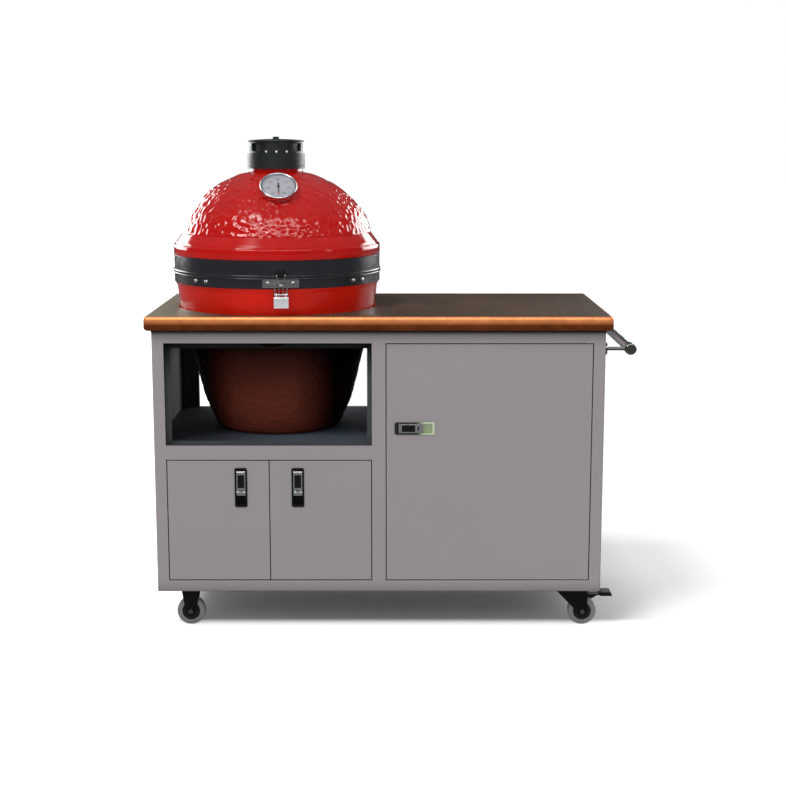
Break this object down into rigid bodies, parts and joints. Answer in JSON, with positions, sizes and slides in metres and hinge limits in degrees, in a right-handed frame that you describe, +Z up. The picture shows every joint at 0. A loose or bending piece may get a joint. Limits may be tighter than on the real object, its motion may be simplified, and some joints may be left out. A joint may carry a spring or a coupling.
{
  "type": "grill cart with storage",
  "caption": "Wheeled outdoor cabinet with a ceramic lidded grill set through its worktop, an open bay under it, lower doors, a tall side cabinet and a push handle.",
  "frame": {"origin": "on the floor, under the middle of the whole outline", "axes": "+X along the cart to the push handle, -Y to the front with the doors, +Z up"},
  "size_m": [1.2841, 0.6138, 1.3145],
  "materials": {
    "powder_coat": "satin powder coat",
    "inner_coat": "satin dark coat",
    "shelf_plate": "satin slate coat",
    "copper_sheet": "hammered copper with a dark patina",
    "core_board": "sealed board",
    "zinc_steel": "zinc plated",
    "polished_steel": "polished",
    "handle_steel": "polished steel",
    "black_steel": "satin black",
    "wheel_rubber": "grey rubber",
    "red_glaze": "dimpled gloss glaze",
    "fire_clay": "matte fired clay",
    "cast_iron": "raw",
    "grate_steel": "brushed",
    "felt": "woven felt",
    "dial_card": "matte light print",
    "needle_paint": "black with a red tip",
    "gauge_glass": "clear",
    "vent_black": "cast, satin black"
  },
  "bodies": {
    "cart": {"face_frame": "powder_coat", "side_panel_left": "powder_coat", "side_panel_right": "powder_coat", "rear_panel": "powder_coat", "bottom_panel": "inner_coat", "centre_divider": "inner_coat", "grill_shelf": "shelf_plate", "storage_shelf": "inner_coat", "door_pivot_pins": "zinc_steel", "worktop_core": "core_board", "worktop_skin": "copper_sheet", "handle_bar": "handle_steel", "handle_brackets": "handle_steel", "rigid_brackets": "black_steel", "rigid_axles": "zinc_steel", "swivel_plates": "black_steel", "grill_bowl": "red_glaze", "draft_frame": "grate_steel", "firebox": "fire_clay", "charcoal_grate": "cast_iron", "cooking_grate": "grate_steel", "gasket_lower": "felt", "band_lower": "black_steel", "bolts": "polished_steel", "lid_hinge_lower": "black_steel", "lid_latch_bracket": "polished_steel"},
    "lid": {"grill_dome": "red_glaze", "gasket_upper": "felt", "band_upper": "black_steel", "lid_hinge_upper": "black_steel", "thermometer_case": "polished_steel", "thermometer_dial": "dial_card", "thermometer_glass": "gauge_glass", "vent_collar": "vent_black"},
    "vent carrier": {"vent_carrier": "vent_black"},
    "vent drum": {"vent_drum": "vent_black", "vent_lid": "vent_black"},
    "needle": {"thermometer_needle": "needle_paint"},
    "lid latch lever": {"lid_latch_lever": "polished_steel"},
    "lid latch bail": {"lid_latch_bail": "polished_steel"},
    "draft door": {"draft_door": "grate_steel"},
    "door lower left": {"door_lower_left": "powder_coat", "latch_housing_lower_left": "polished_steel"},
    "latch paddle lower left": {"latch_paddle_lower_left": "polished_steel"},
    "door lower right": {"door_lower_right": "powder_coat", "latch_housing_lower_right": "polished_steel"},
    "latch paddle lower right": {"latch_paddle_lower_right": "polished_steel"},
    "door right": {"door_right": "powder_coat", "latch_housing_right": "polished_steel"},
    "latch paddle right": {"latch_paddle_right": "polished_steel"},
    "rigid wheel front": {"rigid_wheel_front": "wheel_rubber"},
    "swivel front": {"swivel_fork_front": "black_steel", "swivel_axle_front": "zinc_steel"},
    "swivel wheel front": {"swivel_wheel_front": "wheel_rubber"},
    "brake pedal front": {"brake_pedal_front": "black_steel"},
    "rigid wheel rear": {"rigid_wheel_rear": "wheel_rubber"},
    "swivel rear": {"swivel_fork_rear": "black_steel", "swivel_axle_rear": "zinc_steel"},
    "swivel wheel rear": {"swivel_wheel_rear": "wheel_rubber"},
    "brake pedal rear": {"brake_pedal_rear": "black_steel"}
  },
  "joints": [
    {"name": "lid_hinge", "type": "hinge", "parent": "cart", "child": "lid", "pos_m": [-0.34581, 0.29152, 0.9535], "axis": [-0.9945, -0.1045, 0], "range_deg": [0, 75]},
    {"name": "vent_flip", "type": "hinge", "parent": "lid", "child": "vent carrier", "pos_m": [-0.32328, 0.0772, 1.2377], "axis": [-0.9945, -0.1045, 0], "range_deg": [0, 80]},
    {"name": "vent_turn", "type": "hinge", "parent": "vent carrier", "child": "vent drum", "pos_m": [-0.31445, -0.00683, 1.2695], "axis": [0, 0, 1], "range_deg": [0, 45]},
    {"name": "needle_turn", "type": "hinge", "parent": "lid", "child": "needle", "pos_m": [-0.2954, -0.18809, 1.18507], "axis": [-0.0686, 0.6525, -0.7547], "range_deg": [0, 300]},
    {"name": "lid_latch_lever_turn", "type": "hinge", "parent": "cart", "child": "lid latch lever", "pos_m": [-0.28414, -0.29524, 0.91125], "axis": [-0.9945, -0.1045, 0], "range_deg": [0, 75]},
    {"name": "lid_latch_bail_swing", "type": "hinge", "parent": "cart", "child": "lid latch bail", "pos_m": [-0.28414, -0.29524, 0.91125], "axis": [0.9945, 0.1045, 0], "range_deg": [0, 40]},
    {"name": "draft_door_slide", "type": "slide", "parent": "cart", "child": "draft door", "axis": [0.9945, 0.1045, 0], "range_m": [0, 0.09]},
    {"name": "door_lower_left_hinge", "type": "hinge", "parent": "cart", "child": "door lower left", "pos_m": [-0.58095, -0.27885, 0.30925], "axis": [0, 0, -1], "range_deg": [0, 110]},
    {"name": "latch_paddle_lower_left_lift", "type": "hinge", "parent": "door lower left", "child": "latch paddle lower left", "pos_m": [-0.3972, -0.28185, 0.4395], "axis": [-1, 0, 0], "range_deg": [0, 45]},
    {"name": "door_lower_right_hinge", "type": "hinge", "parent": "cart", "child": "door lower right", "pos_m": [-0.06295, -0.27885, 0.30925], "axis": [0, 0, 1], "range_deg": [0, 110]},
    {"name": "latch_paddle_lower_right_lift", "type": "hinge", "parent": "door lower right", "child": "latch paddle lower right", "pos_m": [-0.2467, -0.28185, 0.4395], "axis": [-1, 0, 0], "range_deg": [0, 45]},
    {"name": "door_right_hinge", "type": "hinge", "parent": "cart", "child": "door right", "pos_m": [0.51605, -0.27885, 0.46425], "axis": [0, 0, 1], "range_deg": [0, 110]},
    {"name": "latch_paddle_right_lift", "type": "hinge", "parent": "door right", "child": "latch paddle right", "pos_m": [0.02155, -0.28185, 0.558], "axis": [0, 0, -1], "range_deg": [0, 45]},
    {"name": "rigid_wheel_front_roll", "type": "hinge", "parent": "cart", "child": "rigid wheel front", "pos_m": [-0.54595, -0.20485, 0.0381], "axis": [0, 1, 0], "continuous": true},
    {"name": "swivel_front_turn", "type": "hinge", "parent": "cart", "child": "swivel front", "pos_m": [0.49855, -0.20485, 0.1027], "axis": [0, 0, 1], "continuous": true},
    {"name": "swivel_wheel_front_roll", "type": "hinge", "parent": "swivel front", "child": "swivel wheel front", "pos_m": [0.52055, -0.20485, 0.0381], "axis": [0, 1, 0], "continuous": true},
    {"name": "brake_pedal_front_press", "type": "hinge", "parent": "swivel front", "child": "brake pedal front", "pos_m": [0.52955, -0.20485, 0.0835], "axis": [0, 1, 0], "range_deg": [0, 9]},
    {"name": "rigid_wheel_rear_roll", "type": "hinge", "parent": "cart", "child": "rigid wheel rear", "pos_m": [-0.54595, 0.19119, 0.0381], "axis": [0, 1, 0], "continuous": true},
    {"name": "swivel_rear_turn", "type": "hinge", "parent": "cart", "child": "swivel rear", "pos_m": [0.49855, 0.19119, 0.1027], "axis": [0, 0, 1], "continuous": true},
    {"name": "swivel_wheel_rear_roll", "type": "hinge", "parent": "swivel rear", "child": "swivel wheel rear", "pos_m": [0.52055, 0.19119, 0.0381], "axis": [0, 1, 0], "continuous": true},
    {"name": "brake_pedal_rear_press", "type": "hinge", "parent": "swivel rear", "child": "brake pedal rear", "pos_m": [0.52955, 0.19119, 0.0835], "axis": [0, 1, 0], "range_deg": [0, 9]}
  ]
}
